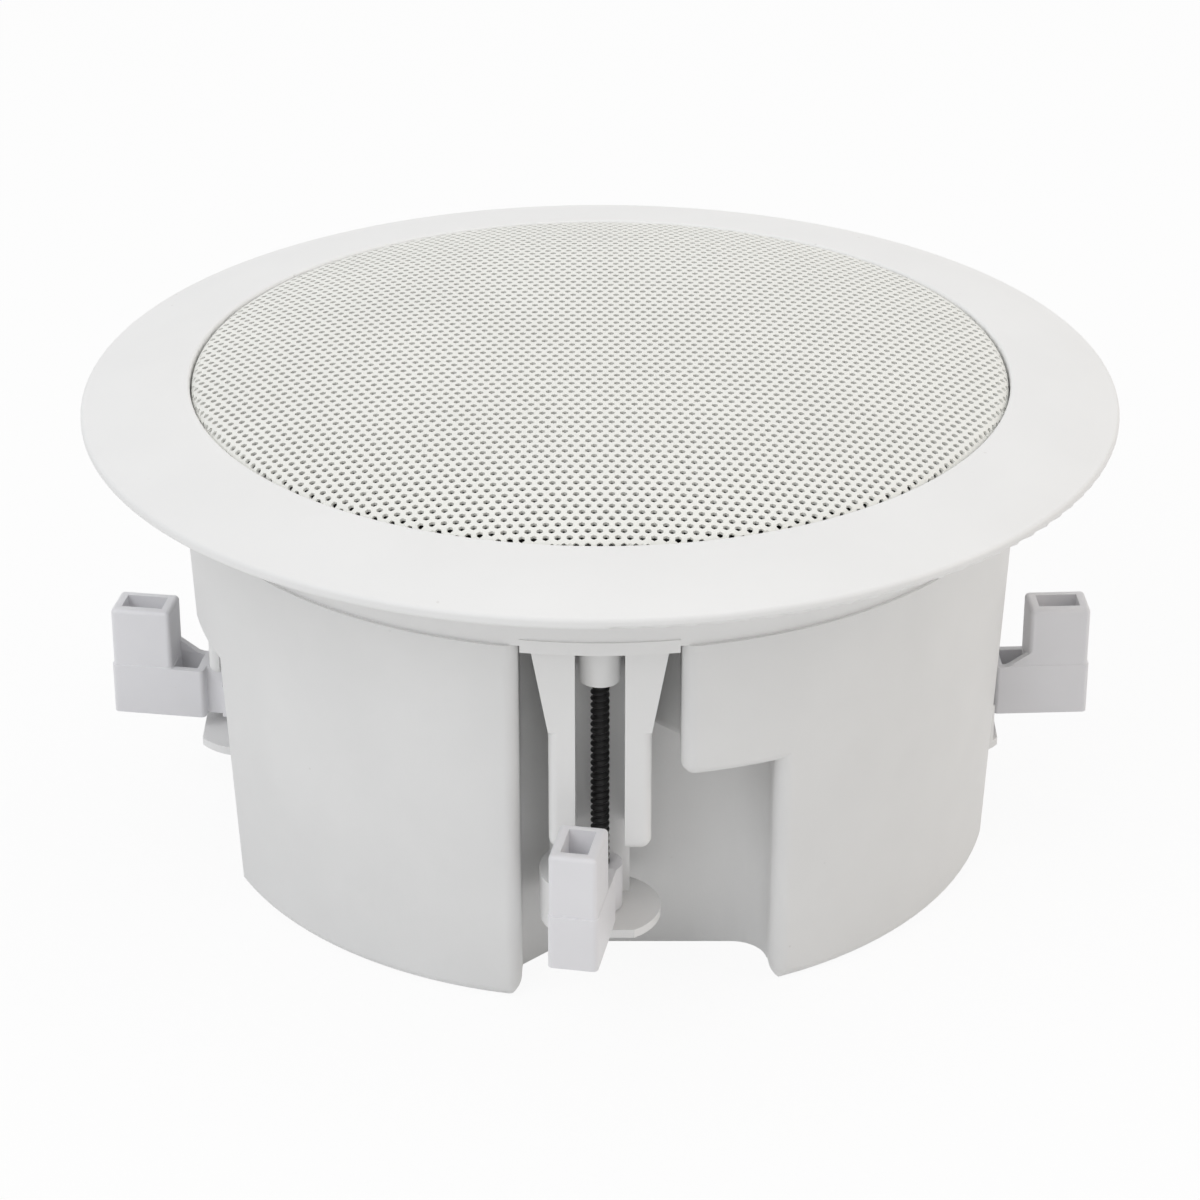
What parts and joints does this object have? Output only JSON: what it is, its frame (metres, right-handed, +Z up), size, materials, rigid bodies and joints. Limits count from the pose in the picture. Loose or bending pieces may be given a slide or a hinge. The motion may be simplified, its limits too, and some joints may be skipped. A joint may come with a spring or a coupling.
{
  "type": "in-ceiling speaker",
  "caption": "Round white in-ceiling speaker with a domed perforated grille, tapered back can and swing-out clamp dogs that grip the ceiling board behind the flange.",
  "frame": {"origin": "centre of the back can's base, on which the speaker stands", "axes": "+Z up through the grille, -Y towards the first clamp"},
  "size_m": [0.24, 0.24, 0.122],
  "materials": {
    "frame_plastic": "white moulded plastic, fine satin",
    "grille_paint": "white powder coat on perforated steel",
    "can_plastic": "white moulded plastic, matt",
    "dog_plastic": "white moulded plastic",
    "black_steel": "black oxide",
    "plated_steel": "zinc plated",
    "grille_cloth": "thin black dust cloth",
    "basket_paint": "black paint on pressed steel",
    "foam": "closed-cell foam",
    "rubber": "soft rubber",
    "cone_paper": "pressed paper",
    "spider_cloth": "resin-dipped cotton",
    "coil_aluminium": "aluminium former",
    "ferrite": "ferrite, matt",
    "terminal_plastic": "black moulded plastic",
    "brass": "plain brass",
    "lead_cover": "insulated wire"
  },
  "bodies": {
    "housing": {"front_frame": "frame_plastic", "grille": "grille_paint", "grille_cloth": "grille_cloth", "back_can": "can_plastic", "driver_basket": "basket_paint", "driver_gasket": "foam", "surround": "rubber", "spider": "spider_cloth", "top_plate": "plated_steel", "magnet": "ferrite", "back_plate": "plated_steel", "tag_strip": "terminal_plastic", "terminal_block": "terminal_plastic", "terminal_screws": "brass", "internal_leads": "lead_cover", "cable_grommet": "rubber", "driver_screws": "black_steel", "can_screws": "black_steel"},
    "cone_assembly": {"cone": "cone_paper", "dust_cap": "cone_paper", "voice_coil": "coil_aluminium"},
    "screw_1": {"clamp_screw_1": "black_steel"},
    "dog_1": {"clamp_dog_1": "dog_plastic"},
    "screw_2": {"clamp_screw_2": "black_steel"},
    "dog_2": {"clamp_dog_2": "dog_plastic"},
    "screw_3": {"clamp_screw_3": "black_steel"},
    "dog_3": {"clamp_dog_3": "dog_plastic"},
    "screw_4": {"clamp_screw_4": "black_steel"},
    "dog_4": {"clamp_dog_4": "dog_plastic"}
  },
  "joints": [
    {"name": "swing_1", "type": "hinge", "parent": "housing", "child": "screw_1", "pos_m": [0, -0.0847, 0], "axis": [0, 0, -1], "range_deg": [-110.5, 0]},
    {"name": "climb_1", "type": "slide", "parent": "screw_1", "child": "dog_1", "axis": [0, 0, 1], "range_m": [0, 0.0435]},
    {"name": "swing_2", "type": "hinge", "parent": "housing", "child": "screw_2", "pos_m": [0.0847, 0, 0], "axis": [0, 0, -1], "range_deg": [-97, 13.5]},
    {"name": "climb_2", "type": "slide", "parent": "screw_2", "child": "dog_2", "axis": [0, 0, 1], "range_m": [-0.0022, 0.0413]},
    {"name": "swing_3", "type": "hinge", "parent": "housing", "child": "screw_3", "pos_m": [0, 0.0847, 0], "axis": [0, 0, -1], "range_deg": [-106, 4.5]},
    {"name": "climb_3", "type": "slide", "parent": "screw_3", "child": "dog_3", "axis": [0, 0, 1], "range_m": [-0.001, 0.0425]},
    {"name": "swing_4", "type": "hinge", "parent": "housing", "child": "screw_4", "pos_m": [-0.0847, 0, 0], "axis": [0, 0, -1], "range_deg": [-109, 1.5]},
    {"name": "climb_4", "type": "slide", "parent": "screw_4", "child": "dog_4", "axis": [0, 0, 1], "range_m": [-0.0005, 0.043]},
    {"name": "cone_travel", "type": "slide", "parent": "housing", "child": "cone_assembly", "axis": [0, 0, 1], "range_m": [-0.003, 0.003], "stiffness_N_per_m": 1500, "deforming": ["surround", "spider"]}
  ]
}
